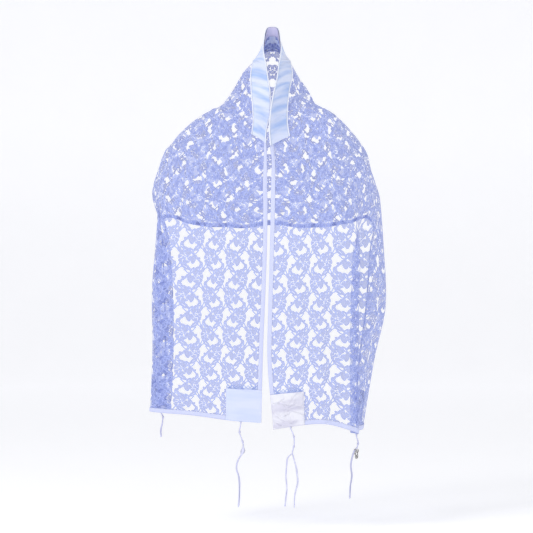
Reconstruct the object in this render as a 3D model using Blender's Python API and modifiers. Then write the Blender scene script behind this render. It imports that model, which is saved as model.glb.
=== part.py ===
"""A women's lace prayer shawl, hanging open as it does when worn.

The lace is one straight strip. Its long top edge runs up the left front, round the neck and
down the right front. "Along" is the distance in millimetres on that edge from the bottom of the
left front, and "across" is the distance from that edge out to the hem. +X is the viewer's right,
+Z is up and the front faces -Y. The origin is on the neck edge at the nape.
"""

import collections
import functools
import math

import bpy
import numpy as np

MM = 0.001

# Driving sizes of the cut cloth, in millimetres
HALF = 1016
LENGTH = 2 * HALF
WIDTH = 508
LACE = 1.2
SATIN = 1.2
SEAM = 0.3
HEM = 10
BOTTOM_HEM = 12
CORNER = 85
NECKBAND = 64
PIPING = 4
PIPING_GAP = 0.9
PIPING_THICK = 2.0
NECKBAND_END = 694
FACING = 24
FACING_REACH = 55
NECK_BEND = 35
NAPE_BEND = (26, 19, 12, 6)
PANEL_END = 646

# The lace repeat, and the largest hole of each
REPEAT_ROWS = 11
REPEAT_COLUMNS = 9
REPEAT_ALONG = HALF / REPEAT_ROWS
REPEAT_ACROSS = WIDTH / REPEAT_COLUMNS
HOLE_ALONG = 18
HOLE_ACROSS = 15

# Each row is a section across the strip: seven guide points from the neck edge to the hem.
Section = collections.namedtuple("Section", "along places edge band breast side tuck out hem")

# Across distances at which the guide points lie
FOLD_PLACES = (0, 60, 173, 286, 342, 398, 508)
PLEAT_PLACES = (0, 60, 150, 229, 254, 342, 508)

LEFT = [
    Section(0, FOLD_PLACES, (-28, -75, -984), (-91, -80, -979), (-200, -64, -966),
            (-304, -14, -959), (-254, 16, -957), (-301, 44, -959), (-274, 146, -962)),
    Section(180, FOLD_PLACES, (-24, -78, -812), (-87, -84, -810), (-196, -68, -806),
            (-298, -14, -800), (-248, 14, -797), (-294, 44, -796), (-272, 144, -800)),
    Section(330, FOLD_PLACES, (-18, -80, -662), (-81, -87, -660), (-190, -72, -655),
            (-299, -14, -648), (-250, 14, -645), (-292, 44, -642), (-276, 138, -650)),
    Section(445, FOLD_PLACES, (-14, -82, -545), (-77, -90, -543), (-184, -78, -536),
            (-290, -18, -526), (-262, 20, -516), (-288, 50, -512), (-280, 134, -546)),
    Section(530, FOLD_PLACES, (-13, -84, -460), (-76, -93, -456), (-182, -82, -446),
            (-282, -22, -424), (-287, 10, -428), (-292, 44, -440), (-284, 122, -506)),
    Section(600, FOLD_PLACES, (-14, -85, -390), (-76, -92, -380), (-178, -74, -352),
            (-268, -8, -318), (-287, 14, -358), (-302, 40, -404), (-284, 114, -484)),
    Section(660, FOLD_PLACES, (-14, -85, -330), (-58, -63, -309), (-172, -50, -282),
            (-263, 26, -302), (-272, 50, -344), (-281, 77, -388), (-267, 120, -474)),
    Section(723, FOLD_PLACES, (-14, -85, -267), (-46, -46, -245), (-160, -16, -218),
            (-239, 52, -284), (-248, 78, -336), (-254, 98, -388), (-244, 125, -478)),
    Section(770, FOLD_PLACES, (-4, -78, -222), (-47, -40, -205), (-146, 8, -206),
            (-200, 66, -288), (-219, 85, -336), (-229, 102, -390), (-225, 121, -486)),
]
NECK = [
    Section(820, FOLD_PLACES, (-4, -70, -173), (-51, -34, -156), (-125, 35, -193),
            (-160, 76, -288), (-178, 88, -340), (-192, 100, -394), (-198, 114, -492)),
    Section(860, FOLD_PLACES, (-9, -56, -137), (-52, -16, -124), (-112, 44, -179),
            (-138, 80, -284), (-150, 92, -338), (-160, 102, -393), (-164, 116, -496)),
    Section(898, FOLD_PLACES, (-14, -40, -102), (-48, 2, -92), (-82, 52, -180),
            (-104, 82, -286), (-113, 92, -340), (-121, 102, -395), (-126, 116, -498)),
    Section(972, FOLD_PLACES, (-20, -12, -36), (-34, 32, -74), (-48, 62, -178),
            (-56, 84, -288), (-60, 94, -342), (-63, 103, -397), (-66, 116, -500)),
    Section(1003, FOLD_PLACES, (-11, -2, -2), (-12, 30, -55), (-15, 60, -163),
            (-18, 84, -276), (-19, 94, -331), (-20, 103, -386), (-21, 116, -493)),
]
NAPE = Section(HALF, FOLD_PLACES, (0, 0, 0), (0, 30, -53), (0, 60, -161),
               (0, 84, -274), (0, 94, -329), (0, 103, -384), (0, 116, -492))
RIGHT = [
    Section(820, FOLD_PLACES, (0, -78, -173), (40, -36, -156), (105, 38, -196),
            (145, 76, -288), (161, 88, -340), (174, 100, -394), (179, 114, -492)),
    Section(770, FOLD_PLACES, (-8, -93, -222), (34, -51, -206), (134, 8, -206),
            (182, 66, -288), (198, 85, -336), (207, 102, -390), (203, 121, -488)),
    Section(723, FOLD_PLACES, (-10, -93, -270), (34, -55, -247), (144, -16, -220),
            (211, 52, -287), (224, 78, -336), (229, 98, -388), (220, 125, -480)),
    Section(660, FOLD_PLACES, (-3, -88, -340), (47, -66, -318), (156, -48, -284),
            (233, 26, -310), (246, 50, -344), (253, 77, -388), (240, 120, -476)),
    Section(600, PLEAT_PLACES, (-4, -86, -400), (58, -90, -388), (138, -76, -366),
            (204, -40, -336), (221, -27, -334), (263, 34, -402), (254, 115, -488)),
    Section(530, PLEAT_PLACES, (-5, -84, -470), (58, -91, -464), (142, -84, -455),
            (206, -54, -446), (222, -38, -442), (267, 20, -446), (257, 122, -506)),
    Section(445, PLEAT_PLACES, (-7, -82, -556), (56, -88, -553), (141, -82, -548),
            (214, -50, -545), (203, -30, -542), (272, 26, -545), (250, 142, -556)),
    Section(300, PLEAT_PLACES, (-11, -82, -702), (52, -87, -700), (137, -78, -698),
            (213, -44, -700), (195, -26, -700), (276, 24, -705), (240, 170, -705)),
    Section(180, PLEAT_PLACES, (-13, -82, -820), (50, -86, -816), (136, -76, -812),
            (212, -42, -816), (194, -22, -816), (254, 40, -822), (226, 180, -815)),
    Section(0, PLEAT_PLACES, (2, -80, -1000), (56, -88, -991), (136, -72, -988),
            (212, -38, -1014), (196, -20, -1013), (226, 52, -1010), (210, 190, -1004)),
]

# How much narrower the viewer's right shoulder hangs than the left
RIGHT_SPREAD = 0.905

# Soft folds: where each is, how far it reaches each way, and how far it stands out
Fold = collections.namedtuple("Fold", "along across reach_along reach_across height")
FOLDS = [
    Fold(230, 60, 240, 24, 4),
    Fold(300, 135, 300, 28, -5),
    Fold(190, 215, 230, 26, 6),
    Fold(520, 180, 150, 30, 6),
    Fold(888, 108, 34, 28, 9),
    Fold(860, 508, 40, 180, -11),
    Fold(930, 508, 38, 200, 10),
    Fold(1000, 508, 38, 190, -11),
    Fold(1075, 508, 40, 200, 11),
    Fold(1150, 508, 38, 180, -10),
    Fold(1220, 508, 38, 170, 9),
    Fold(1500, 170, 160, 30, 6),
    Fold(1760, 60, 250, 24, 4),
    Fold(1900, 130, 150, 16, 7),
    Fold(1720, 300, 220, 22, 5),
]

# Corner tassels: drops below the hem as (sideways, down) in millimetres, one list a bundle.
Tassel = collections.namedtuple("Tassel", "along across head bundles")
TASSELS = {
    "front_left": Tassel(0, 48, [(0, 0), (0, -3), (-3, -27), (3, -44), (6, -56)], [
        [(6, -56), (3, -76), (-8, -96), (-11, -112), (-5, -138), (-4, -170), (-6, -209)],
    ]),
    "front_right": Tassel(LENGTH, 47, [(0, 0), (0, -3), (5, -14), (9, -36), (4, -64)], [
        [(4, -64), (-8, -76), (-10, -92), (-12, -125), (-10, -148), (-13, -179), (-15, -197)],
        [(4, -64), (9, -84), (14, -104), (16, -140), (10, -164), (9, -197)],
    ]),
    "outer_right": Tassel(LENGTH, 461, [(0, 0), (0, -3), (-2, -31), (2, -44), (0, -57)], [
        [(0, -57), (-9, -68), (-14, -84), (-17, -104), (-15, -132), (-19, -160), (-20, -190)],
    ]),
    "outer_left": Tassel(0, 470, [(0, 0), (0, -3), (6, -11), (11, -20), (10, -34)], [
        [(10, -34), (7, -46), (5, -58), (6, -72)],
    ]),
}
STRANDS = 8
STRAND_RADIUS = 0.9
STRAND_RING = 2.6
STRAND_SPLAY = 1.2
STRAND_STEP = 22
HEAD_STEP = 5
STRAND_LIFT = 3
STRAND_WAVE = 0.5
HEAD_SIDES = 6
CORD_RADIUS = 2.6
ROOT_RADIUS = 1.4
KNOT_RADIUS = 4.0
KNOT_EVERY = 25
ROOT_GAP = 0.3
ROOT_OFFSET = 1.6

LACE_COLOUR = (0.80, 0.80, 0.93)
SATIN_COLOUR = (0.88, 0.91, 0.98)
TRIM_COLOUR = (0.95, 0.95, 0.98)
CORD_COLOUR = (0.90, 0.90, 0.94)


def smooth(knots, values, at):
    """Reads a smooth curve through the values at the knots."""
    last = len(knots) - 2
    i = int(np.clip(np.searchsorted(knots, at) - 1, 0, last))
    gap = knots[i + 1] - knots[i]
    slope = (values[i + 1] - values[i]) / gap

    def tangent(j):
        if j == 0 or j == last + 1:
            return slope
        before = (values[j] - values[j - 1]) / (knots[j] - knots[j - 1])
        after = (values[j + 1] - values[j]) / (knots[j + 1] - knots[j])
        left, right = knots[j] - knots[j - 1], knots[j + 1] - knots[j]
        return (before * right + after * left) / (left + right)

    t = (at - knots[i]) / gap
    start = (1 + 2 * t) * (1 - t) ** 2 * values[i] + t * (1 - t) ** 2 * gap * tangent(i)
    end = t * t * (3 - 2 * t) * values[i + 1] - t * t * (1 - t) * gap * tangent(i + 1)
    return start + end


def mirrored(section):
    """The same section on the right shoulder."""
    points = [(-x * RIGHT_SPREAD, y, z) for x, y, z in section[2:]]
    return Section(section.along, section.places, *points)


def all_sections():
    """Every section in order along the whole strip, as arrays."""
    left = LEFT + NECK + [NAPE]
    right = [mirrored(s) for s in reversed(NECK[1:])] + RIGHT
    along = [s.along for s in left] + [LENGTH - s.along for s in right]
    rows = left + right
    places = np.array([s.places for s in rows], float)
    points = np.array([s[2:] for s in rows], float)
    return np.array(along, float), places, points


STATIONS, PLACES, GUIDES = all_sections()


@functools.lru_cache(maxsize=None)
def section_at(along):
    return smooth(STATIONS, PLACES, along), smooth(STATIONS, GUIDES, along)


def bare(along, across):
    """A point of the cloth without its soft folds."""
    return smooth(*section_at(along), across)


def fold_height(along, across):
    height = 0
    for fold in FOLDS:
        a = (along - fold.along) / fold.reach_along
        b = (across - fold.across) / fold.reach_across
        height += fold.height * math.exp(-a * a - b * b)
    return height


def cloth(along, across, out=0):
    """A point on the cloth, moved out from its middle, in metres."""
    step = 1.0
    low, high = max(along - step, 0), min(along + step, LENGTH)
    near, far = max(across - step, 0), min(across + step, WIDTH)
    along_way = bare(high, across) - bare(low, across)
    across_way = bare(along, far) - bare(along, near)
    normal = np.cross(along_way, across_way)
    normal /= np.linalg.norm(normal)
    return (bare(along, across) + normal * (fold_height(along, across) + out)) * MM


# Where the holes of each repeat begin: none at the nape, or in the last column at the hem
HOLES_ALONG = [REPEAT_ALONG * (i + 0.5) - HOLE_ALONG / 2 for i in range(REPEAT_ROWS - 1)]
HOLES_ACROSS = [NECKBAND - PIPING - HOLE_ACROSS + REPEAT_ACROSS * k for k in range(REPEAT_COLUMNS - 1)]


def lines_along():
    """Grid lines of the left half: hole edges, trim edges and the tight bend at the nape."""
    lines = {0, BOTTOM_HEM, CORNER, PANEL_END, NECKBAND_END, HALF}
    lines |= {HALF - reach for reach in (FACING_REACH,) + NAPE_BEND}
    for start in HOLES_ALONG:
        lines |= {start, start + HOLE_ALONG, start + HOLE_ALONG / 2 + REPEAT_ALONG / 2}
    return sorted(lines)


def lines_across():
    """Grid lines from the neck edge to the hem."""
    lines = {0, PIPING, HEM, FACING, NECK_BEND, NECKBAND, CORNER, PLEAT_PLACES[4]}
    lines |= {WIDTH - CORNER, WIDTH - HEM, WIDTH}
    for start in HOLES_ACROSS:
        lines |= {start, start + HOLE_ACROSS}
    return sorted(lines)


def thinned(lines, least=1.0):
    """Drops a line that lies almost on the one before it."""
    kept = [lines[0]]
    for line in lines[1:]:
        if line - kept[-1] >= least:
            kept.append(line)
    kept[-1] = lines[-1]
    return kept


LEFT_LINES = thinned(lines_along())
ALONG = LEFT_LINES + [LENGTH - line for line in reversed(LEFT_LINES[:-1])]
ACROSS = thinned(lines_across())


def between(lines, low, high):
    """The grid lines inside a stretch, with the stretch's own ends."""
    return [low] + [line for line in lines if low + 1 < line < high - 1] + [high]


def is_hole(low, high, near, far):
    """Whether a grid cell is a cut hole of the lace."""
    place = (low + high) / 2
    place = min(place, LENGTH - place)
    across = (near + far) / 2
    row = any(abs(start + HOLE_ALONG / 2 - place) < 1 for start in HOLES_ALONG)
    column = any(abs(start + HOLE_ACROSS / 2 - across) < 1 for start in HOLES_ACROSS)
    under_corner = place < CORNER and (across < CORNER or across > WIDTH - CORNER)
    under_band = place > NECKBAND_END and across < NECKBAND
    return row and column and not under_corner and not under_band


def material(name, colour, roughness):
    made = bpy.data.materials.new(name)
    made.use_nodes = True
    shader = made.node_tree.nodes["Principled BSDF"]
    shader.inputs["Base Color"].default_value = (*colour, 1)
    shader.inputs["Roughness"].default_value = roughness
    shader.inputs["Metallic"].default_value = 0
    return made


def new_object(name, points, faces, colour, roughness, collection):
    mesh = bpy.data.meshes.new(name)
    mesh.from_pydata([tuple(p) for p in points], [], faces)
    mesh.materials.append(material(name, colour, roughness))
    mesh.shade_smooth()
    made = bpy.data.objects.new(name, mesh)
    collection.objects.link(made)
    return made


def sheet(name, along_range, across_range, out, thick, side, look, collection, holes=False):
    """A stretch of cloth made from the strip's points, moved out, as an open surface with a thickness.

    The side is 0 for a wall round the surface, 1 for one on its outer face and -1 for the inner one.
    """
    along = between(ALONG, *along_range)
    across = between(ACROSS, *across_range)
    points = [cloth(a, b, out) for a in along for b in across]
    faces = []
    width = len(across)
    for i in range(len(along) - 1):
        for j in range(width - 1):
            if holes and is_hole(along[i], along[i + 1], across[j], across[j + 1]):
                continue
            corner = i * width + j
            faces.append((corner, corner + width, corner + width + 1))
            faces.append((corner, corner + width + 1, corner + 1))
    made = new_object(name, points, faces, *look, collection)
    thickness = made.modifiers.new("Thickness", "SOLIDIFY")
    thickness.thickness = thick * MM
    thickness.offset = side
    return made


def tube(points, radii, sides):
    """A closed tube through the points: its corners and its faces."""
    points = [np.array(p, float) for p in points]
    corners = []
    for i, point in enumerate(points):
        ahead = points[min(i + 1, len(points) - 1)] - points[max(i - 1, 0)]
        ahead /= np.linalg.norm(ahead)
        right = np.cross(ahead, (0, 1, 0))
        right /= np.linalg.norm(right)
        back = np.cross(ahead, right)
        for k in range(sides):
            turn = 2 * math.pi * k / sides
            corners.append(point + radii[i] * (right * math.cos(turn) + back * math.sin(turn)))
    faces = [tuple(reversed(range(sides)))]
    for i in range(len(points) - 1):
        for k in range(sides):
            low = i * sides + k
            beside = i * sides + (k + 1) % sides
            faces.append((low, beside, beside + sides, low + sides))
    faces.append(tuple(range(len(corners) - sides, len(corners))))
    return corners, faces


def path(rows, root, step):
    """Evenly spaced points of a smooth curve through (sideways, down) rows below a root."""
    rows = np.array([(root[0] + x * MM, root[1], root[2] + z * MM) for x, z in rows])
    knots = np.concatenate([[0], np.cumsum(np.linalg.norm(np.diff(rows, axis=0), axis=1))])
    count = max(int(knots[-1] / (step * MM)), 2)
    return [smooth(knots, rows, knots[-1] * i / count) for i in range(count + 1)]


def strand_points(route, number):
    """One strand of a bundle: it leaves its place round the head and splays a little."""
    turn = 2 * math.pi * number / STRANDS
    points = []
    for i, point in enumerate(route):
        share = i / (len(route) - 1)
        reach = (STRAND_RING + STRAND_SPLAY * share) * MM
        wave = STRAND_WAVE * share * math.sin(turn + 2 * math.pi * share) * MM
        points.append(point + np.array((reach * math.cos(turn) + wave, reach * math.sin(turn), 0)))
    return points


def tassel(name, spec, collection, cutters):
    """A knotted head under the hem, and eight strands joined into it."""
    edge = cloth(spec.along, spec.across, ROOT_OFFSET)
    root = edge - np.array((0, 0, ROOT_GAP * MM))
    route = path(spec.head, root, HEAD_STEP)
    radii = []
    for i in range(len(route)):
        knot = i % (KNOT_EVERY // HEAD_STEP) == 2 or i >= len(route) - 2
        radii.append((KNOT_RADIUS if knot else CORD_RADIUS) * MM)
    radii[0] = ROOT_RADIUS * MM
    look = (CORD_COLOUR, 0.8)
    head = new_object(name, *tube(route, radii, HEAD_SIDES), *look, collection)
    strands = bpy.data.collections.new(name + "_strands")
    cutters.children.link(strands)
    for number in range(STRANDS):
        rows = spec.bundles[number % len(spec.bundles)]
        line = strand_points(path(rows, root, STRAND_STEP), number)
        line[0] = line[0] + np.array((0, 0, STRAND_LIFT * MM))
        mesh = tube(line, [STRAND_RADIUS * MM] * len(line), 3)
        strand = new_object(f"{name}_strand_{number + 1}", *mesh, *look, strands)
        strand.hide_render = True
        strand.display_type = "WIRE"
    join = head.modifiers.new("Strands", "BOOLEAN")
    join.operation = "UNION"
    join.operand_type = "COLLECTION"
    join.collection = strands
    join.solver = "EXACT"


def lace_panels(shawl):
    look = (LACE_COLOUR, 0.7)
    ends = (PANEL_END, LENGTH - PANEL_END)
    across = (0, WIDTH)
    sheet("front_left_panel", (0, ends[0] - SEAM), across, 0, LACE, 0, look, shawl, True)
    sheet("back_panel", (ends[0] + SEAM, ends[1] - SEAM), across, 0, LACE, 0, look, shawl, True)
    sheet("front_right_panel", (ends[1] + SEAM, LENGTH), across, 0, LACE, 0, look, shawl, True)


def neck_trims(shawl):
    out = LACE / 2 + SEAM
    reach = (NECKBAND_END, LENGTH - NECKBAND_END)
    band = (PIPING + PIPING_GAP, NECKBAND - PIPING - PIPING_GAP)
    sheet("neckband", reach, band, out, SATIN, 1, (SATIN_COLOUR, 0.35), shawl)
    sheet("piping_upper", reach, (0, PIPING), out, PIPING_THICK, 1, (TRIM_COLOUR, 0.5), shawl)
    lower = (NECKBAND - PIPING, NECKBAND)
    sheet("piping_lower", reach, lower, out, PIPING_THICK, 1, (TRIM_COLOUR, 0.5), shawl)
    inside = (HALF - FACING_REACH, HALF + FACING_REACH)
    sheet("neck_facing", inside, (0, FACING), -out, SATIN, -1, (SATIN_COLOUR, 0.5), shawl)


def hems(shawl):
    out = LACE / 2 + SEAM
    look = (TRIM_COLOUR, 0.7)
    middle = (CORNER + SEAM, WIDTH - CORNER - SEAM)
    front = (CORNER + SEAM, NECKBAND_END - SEAM)
    sheet("bottom_hem_left", (0, BOTTOM_HEM), middle, out, SATIN, 1, look, shawl)
    sheet("bottom_hem_right", (LENGTH - BOTTOM_HEM, LENGTH), middle, out, SATIN, 1, look, shawl)
    sheet("front_edge_hem_left", front, (0, HEM), out, SATIN, 1, look, shawl)
    right = (LENGTH - front[1], LENGTH - front[0])
    sheet("front_edge_hem_right", right, (0, HEM), out, SATIN, 1, look, shawl)
    round_back = (CORNER + SEAM, LENGTH - CORNER - SEAM)
    sheet("outer_hem", round_back, (WIDTH - HEM, WIDTH), out, SATIN, 1, look, shawl)


def corners(shawl):
    out = LACE / 2 + SEAM
    look = (SATIN_COLOUR, 0.3)
    inner, outer = (0, CORNER), (WIDTH - CORNER, WIDTH)
    left, right = (0, CORNER), (LENGTH - CORNER, LENGTH)
    sheet("corner_front_left", left, inner, out, SATIN, 1, look, shawl)
    sheet("corner_outer_left", left, outer, out, SATIN, 1, look, shawl)
    sheet("corner_front_right", right, inner, out, SATIN, 1, look, shawl)
    sheet("corner_outer_right", right, outer, out, SATIN, 1, look, shawl)


def main():
    for old in list(bpy.data.objects):
        bpy.data.objects.remove(old)
    shawl = bpy.data.collections.new("lace_prayer_shawl")
    cutters = bpy.data.collections.new("strands_to_join")
    cutters.hide_render = True
    for collection in (shawl, cutters):
        bpy.context.scene.collection.children.link(collection)
    lace_panels(shawl)
    neck_trims(shawl)
    hems(shawl)
    corners(shawl)
    for place, spec in TASSELS.items():
        tassel("tzitzit_" + place, spec, shawl, cutters)


main()
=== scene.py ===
"""The looks of a women's lace prayer shawl that hangs open as it does when worn.

Along is the distance on the strip's neck edge from the bottom of the left front, and across is the
distance from that edge out to the hem, both in millimetres. Left and right are the viewer's.
"""

import collections
import math

import bpy
import numpy as np
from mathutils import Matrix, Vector


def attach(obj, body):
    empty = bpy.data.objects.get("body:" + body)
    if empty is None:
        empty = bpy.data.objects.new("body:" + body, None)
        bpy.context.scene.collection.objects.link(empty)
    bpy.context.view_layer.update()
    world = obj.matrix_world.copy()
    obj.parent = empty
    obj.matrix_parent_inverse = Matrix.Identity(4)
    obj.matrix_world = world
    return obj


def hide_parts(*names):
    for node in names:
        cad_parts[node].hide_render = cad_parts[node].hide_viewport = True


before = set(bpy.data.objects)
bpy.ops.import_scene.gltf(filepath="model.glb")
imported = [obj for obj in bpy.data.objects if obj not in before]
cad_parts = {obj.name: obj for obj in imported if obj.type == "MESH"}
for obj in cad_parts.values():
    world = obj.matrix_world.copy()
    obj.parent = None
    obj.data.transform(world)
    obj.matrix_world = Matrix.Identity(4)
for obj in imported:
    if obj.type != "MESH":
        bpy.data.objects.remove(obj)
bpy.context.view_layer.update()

MM = 0.001
HALF = 1016
LENGTH = 2 * HALF
WIDTH = 508
HEM = 10
BOTTOM_HEM = 12
CORNER = 85
NECKBAND = 64
PIPING = 4
NECKBAND_END = 694
FACING = 24
FACING_REACH = 55
PANEL_END = 646
REPEAT_ALONG = HALF / 11
REPEAT_ACROSS = WIDTH / 9

# Where the first cut hole of the lace repeat lies
HOLE_ALONG = REPEAT_ALONG / 2
HOLE_ACROSS = NECKBAND - PIPING - 7.5

# The guide points of the cloth, the same as in the solids
Section = collections.namedtuple("Section", "along places edge band breast side tuck out hem")
FOLD_PLACES = (0, 60, 173, 286, 342, 398, 508)
PLEAT_PLACES = (0, 60, 150, 229, 254, 342, 508)
LEFT = [
    Section(0, FOLD_PLACES, (-28, -75, -984), (-91, -80, -979), (-200, -64, -966),
            (-304, -14, -959), (-254, 16, -957), (-301, 44, -959), (-274, 146, -962)),
    Section(180, FOLD_PLACES, (-24, -78, -812), (-87, -84, -810), (-196, -68, -806),
            (-298, -14, -800), (-248, 14, -797), (-294, 44, -796), (-272, 144, -800)),
    Section(330, FOLD_PLACES, (-18, -80, -662), (-81, -87, -660), (-190, -72, -655),
            (-299, -14, -648), (-250, 14, -645), (-292, 44, -642), (-276, 138, -650)),
    Section(445, FOLD_PLACES, (-14, -82, -545), (-77, -90, -543), (-184, -78, -536),
            (-290, -18, -526), (-262, 20, -516), (-288, 50, -512), (-280, 134, -546)),
    Section(530, FOLD_PLACES, (-13, -84, -460), (-76, -93, -456), (-182, -82, -446),
            (-282, -22, -424), (-287, 10, -428), (-292, 44, -440), (-284, 122, -506)),
    Section(600, FOLD_PLACES, (-14, -85, -390), (-76, -92, -380), (-178, -74, -352),
            (-268, -8, -318), (-287, 14, -358), (-302, 40, -404), (-284, 114, -484)),
    Section(660, FOLD_PLACES, (-14, -85, -330), (-58, -63, -309), (-172, -50, -282),
            (-263, 26, -302), (-272, 50, -344), (-281, 77, -388), (-267, 120, -474)),
    Section(723, FOLD_PLACES, (-14, -85, -267), (-46, -46, -245), (-160, -16, -218),
            (-239, 52, -284), (-248, 78, -336), (-254, 98, -388), (-244, 125, -478)),
    Section(770, FOLD_PLACES, (-4, -78, -222), (-47, -40, -205), (-146, 8, -206),
            (-200, 66, -288), (-219, 85, -336), (-229, 102, -390), (-225, 121, -486)),
]
NECK = [
    Section(820, FOLD_PLACES, (-4, -70, -173), (-51, -34, -156), (-125, 35, -193),
            (-160, 76, -288), (-178, 88, -340), (-192, 100, -394), (-198, 114, -492)),
    Section(860, FOLD_PLACES, (-9, -56, -137), (-52, -16, -124), (-112, 44, -179),
            (-138, 80, -284), (-150, 92, -338), (-160, 102, -393), (-164, 116, -496)),
    Section(898, FOLD_PLACES, (-14, -40, -102), (-48, 2, -92), (-82, 52, -180),
            (-104, 82, -286), (-113, 92, -340), (-121, 102, -395), (-126, 116, -498)),
    Section(972, FOLD_PLACES, (-20, -12, -36), (-34, 32, -74), (-48, 62, -178),
            (-56, 84, -288), (-60, 94, -342), (-63, 103, -397), (-66, 116, -500)),
    Section(1003, FOLD_PLACES, (-11, -2, -2), (-12, 30, -55), (-15, 60, -163),
            (-18, 84, -276), (-19, 94, -331), (-20, 103, -386), (-21, 116, -493)),
]
NAPE = Section(HALF, FOLD_PLACES, (0, 0, 0), (0, 30, -53), (0, 60, -161),
               (0, 84, -274), (0, 94, -329), (0, 103, -384), (0, 116, -492))
RIGHT = [
    Section(820, FOLD_PLACES, (0, -78, -173), (40, -36, -156), (105, 38, -196),
            (145, 76, -288), (161, 88, -340), (174, 100, -394), (179, 114, -492)),
    Section(770, FOLD_PLACES, (-8, -93, -222), (34, -51, -206), (134, 8, -206),
            (182, 66, -288), (198, 85, -336), (207, 102, -390), (203, 121, -488)),
    Section(723, FOLD_PLACES, (-10, -93, -270), (34, -55, -247), (144, -16, -220),
            (211, 52, -287), (224, 78, -336), (229, 98, -388), (220, 125, -480)),
    Section(660, FOLD_PLACES, (-3, -88, -340), (47, -66, -318), (156, -48, -284),
            (233, 26, -310), (246, 50, -344), (253, 77, -388), (240, 120, -476)),
    Section(600, PLEAT_PLACES, (-4, -86, -400), (58, -90, -388), (138, -76, -366),
            (204, -40, -336), (221, -27, -334), (263, 34, -402), (254, 115, -488)),
    Section(530, PLEAT_PLACES, (-5, -84, -470), (58, -91, -464), (142, -84, -455),
            (206, -54, -446), (222, -38, -442), (267, 20, -446), (257, 122, -506)),
    Section(445, PLEAT_PLACES, (-7, -82, -556), (56, -88, -553), (141, -82, -548),
            (214, -50, -545), (203, -30, -542), (272, 26, -545), (250, 142, -556)),
    Section(300, PLEAT_PLACES, (-11, -82, -702), (52, -87, -700), (137, -78, -698),
            (213, -44, -700), (195, -26, -700), (276, 24, -705), (240, 170, -705)),
    Section(180, PLEAT_PLACES, (-13, -82, -820), (50, -86, -816), (136, -76, -812),
            (212, -42, -816), (194, -22, -816), (254, 40, -822), (226, 180, -815)),
    Section(0, PLEAT_PLACES, (2, -80, -1000), (56, -88, -991), (136, -72, -988),
            (212, -38, -1014), (196, -20, -1013), (226, 52, -1010), (210, 190, -1004)),
]

# How much narrower the viewer's right shoulder hangs than the left
RIGHT_SPREAD = 0.905

Fold = collections.namedtuple("Fold", "along across reach_along reach_across height")
FOLDS = [
    Fold(230, 60, 240, 24, 4),
    Fold(300, 135, 300, 28, -5),
    Fold(190, 215, 230, 26, 6),
    Fold(520, 180, 150, 30, 6),
    Fold(888, 108, 34, 28, 9),
    Fold(860, 508, 40, 180, -11),
    Fold(930, 508, 38, 200, 10),
    Fold(1000, 508, 38, 190, -11),
    Fold(1075, 508, 40, 200, 11),
    Fold(1150, 508, 38, 180, -10),
    Fold(1220, 508, 38, 170, 9),
    Fold(1500, 170, 160, 30, 6),
    Fold(1760, 60, 250, 24, 4),
    Fold(1900, 130, 150, 16, 7),
    Fold(1720, 300, 220, 22, 5),
]

# Creases that only the looks have: soft ridges and troughs along lines of (along, across)
Crease = collections.namedtuple("Crease", "points width height")
CREASES = [
    Crease([(20, 250), (120, 235), (260, 228)], 9, 4.0),
    Crease([(0, 190), (90, 176), (170, 170)], 8, -3.0),
    Crease([(30, 120), (180, 128), (330, 120)], 10, 3.0),
    Crease([(250, 60), (360, 74), (470, 70)], 8, 2.5),
    Crease([(350, 210), (450, 190), (560, 200)], 10, 3.5),
    Crease([(450, 110), (560, 100), (650, 130)], 9, -3.0),
    Crease([(560, 250), (620, 210), (690, 190)], 8, 3.0),
    Crease([(100, 470), (260, 455), (420, 450)], 10, 3.0),
    Crease([(700, 130), (760, 170), (800, 220)], 9, 3.0),
    Crease([(760, 90), (810, 130), (850, 190)], 7, 2.0),
    Crease([(880, 220), (892, 320), (900, 440)], 8, 3.0),
    Crease([(940, 200), (950, 330), (962, 470)], 9, -3.0),
    Crease([(1010, 120), (1016, 260), (1020, 400)], 9, 3.0),
    Crease([(1080, 210), (1086, 330), (1078, 460)], 8, 3.0),
    Crease([(1150, 190), (1140, 300), (1146, 420)], 8, -2.5),
    Crease([(1210, 130), (1250, 190), (1290, 240)], 9, 3.0),
    Crease([(1330, 130), (1370, 190), (1430, 220)], 9, 3.0),
    Crease([(1400, 80), (1480, 110), (1580, 120)], 8, -2.5),
    Crease([(1480, 230), (1560, 205), (1650, 215)], 8, 3.0),
    Crease([(1600, 60), (1700, 80), (1800, 70)], 9, 3.0),
    Crease([(1807, 192), (1880, 178), (1937, 163), (2025, 142)], 7, 5.5),
    Crease([(1830, 176), (1900, 160), (1950, 146)], 6, -3.5),
    Crease([(1700, 400), (1820, 410), (1960, 400)], 10, 3.0),
    Crease([(1900, 300), (1960, 310), (2030, 300)], 8, 3.0),
]

# Corner tassels: places below the hem as (sideways, height) in millimetres, one list a bundle.
Tassel = collections.namedtuple("Tassel", "along across head bundles")
TASSELS = {
    "front_left": Tassel(0, 48, [(0, 0), (0, -3), (-3, -27), (3, -44), (6, -56)], [
        [(6, -56), (3, -76), (-8, -96), (-11, -112), (-5, -138), (-4, -170), (-6, -209)],
    ]),
    "front_right": Tassel(LENGTH, 47, [(0, 0), (0, -3), (5, -14), (9, -36), (4, -64)], [
        [(4, -64), (-8, -76), (-10, -92), (-12, -125), (-10, -148), (-13, -179), (-15, -197)],
        [(4, -64), (9, -84), (14, -104), (16, -140), (10, -164), (9, -197)],
    ]),
    "outer_right": Tassel(LENGTH, 461, [(0, 0), (0, -3), (-2, -31), (2, -44), (0, -57)], [
        [(0, -57), (-9, -68), (-14, -84), (-17, -104), (-15, -132), (-19, -160), (-20, -190)],
    ]),
    "outer_left": Tassel(0, 470, [(0, 0), (0, -3), (6, -11), (11, -20), (10, -34)], [
        [(10, -34), (7, -46), (5, -58), (6, -72)],
    ]),
}
ROOT_GAP = 0.3
ROOT_OFFSET = 1.6


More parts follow.
